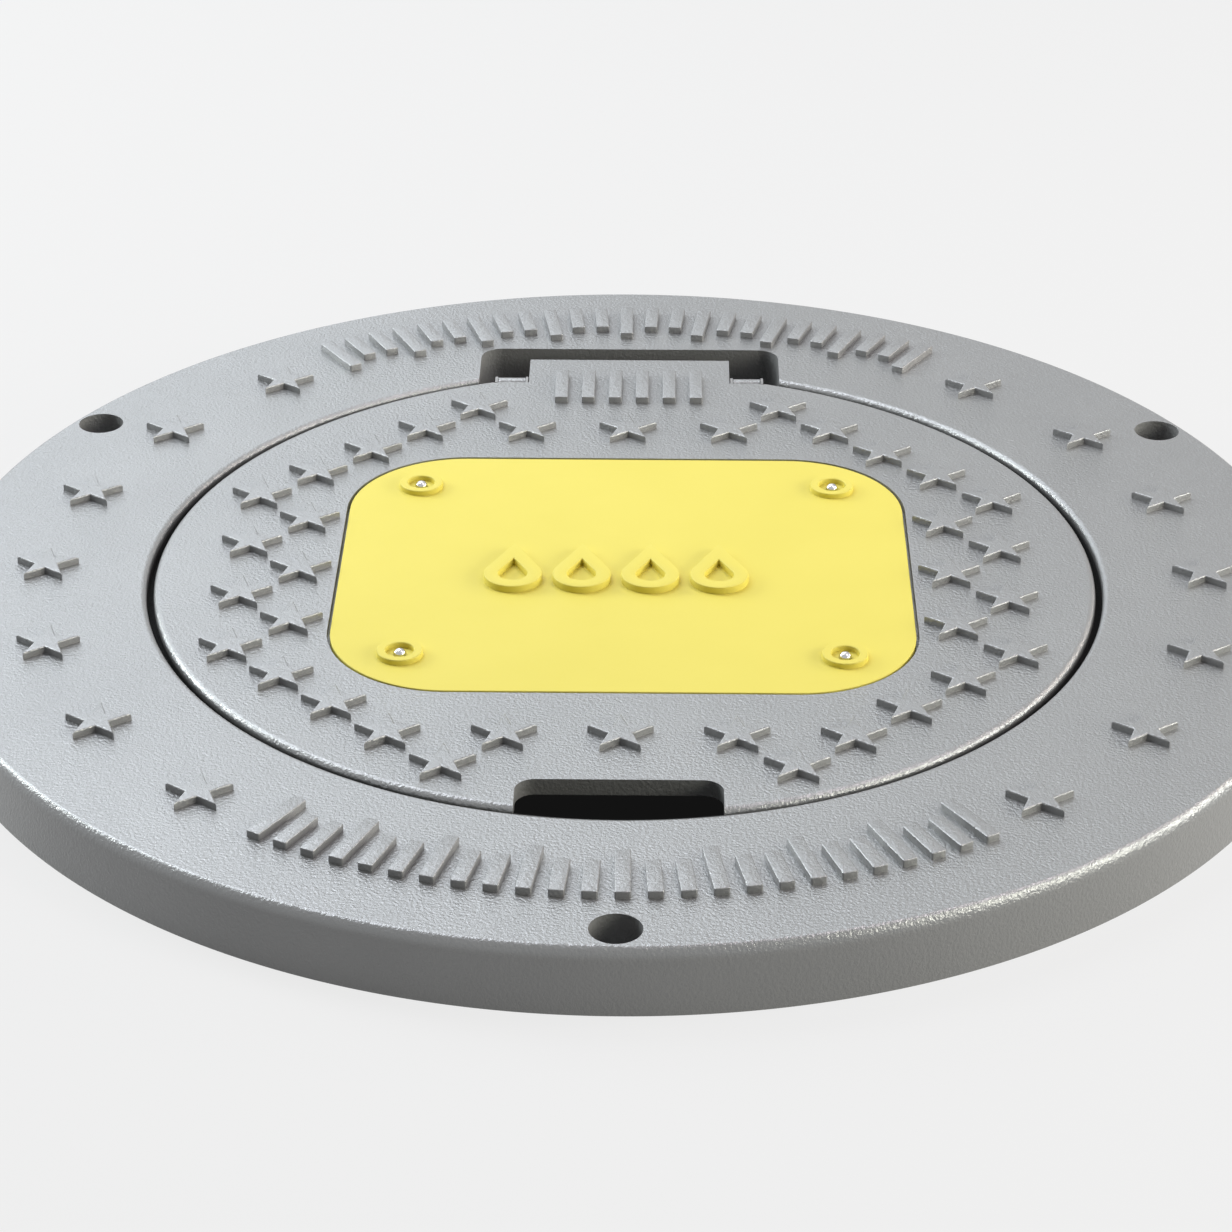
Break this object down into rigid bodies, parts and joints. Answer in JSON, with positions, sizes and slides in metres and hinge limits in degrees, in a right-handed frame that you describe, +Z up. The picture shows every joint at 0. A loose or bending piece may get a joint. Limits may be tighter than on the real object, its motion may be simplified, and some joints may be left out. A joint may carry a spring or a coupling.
{
  "type": "fuel fill cover",
  "caption": "Round cast cover ring with a hinged round access lid, raised star tread, a pry slot, rim bolt holes and a sunk yellow identification plate on the lid.",
  "frame": {"origin": "centre of the cover's underside, on the ground", "axes": "+Z up, the hinge at +Y, the pry slot at -Y"},
  "size_m": [0.9139, 0.914, 0.05],
  "materials": {
    "cast_metal": "light grey, fine cast texture, satin",
    "yellow_plate": "smooth, satin",
    "polished_steel": "polished",
    "hinge_steel": "plain zinc grey, satin"
  },
  "bodies": {
    "cover": {"cover_ring": "cast_metal"},
    "lid": {"access_lid": "cast_metal", "id_plate": "yellow_plate", "plate_screw_1": "polished_steel", "plate_screw_2": "polished_steel", "plate_screw_3": "polished_steel", "plate_screw_4": "polished_steel", "hinge_bracket_left": "hinge_steel", "hinge_bracket_right": "hinge_steel", "hinge_pin_left": "hinge_steel", "hinge_pin_right": "hinge_steel", "bracket_screw_left_1": "hinge_steel", "bracket_screw_left_2": "hinge_steel", "bracket_screw_right_1": "hinge_steel", "bracket_screw_right_2": "hinge_steel"}
  },
  "joints": [
    {"name": "lid_hinge", "type": "hinge", "parent": "cover", "child": "lid", "pos_m": [0, 0.301, 0.0395], "axis": [-1, 0, 0], "range_deg": [0, 100]}
  ]
}
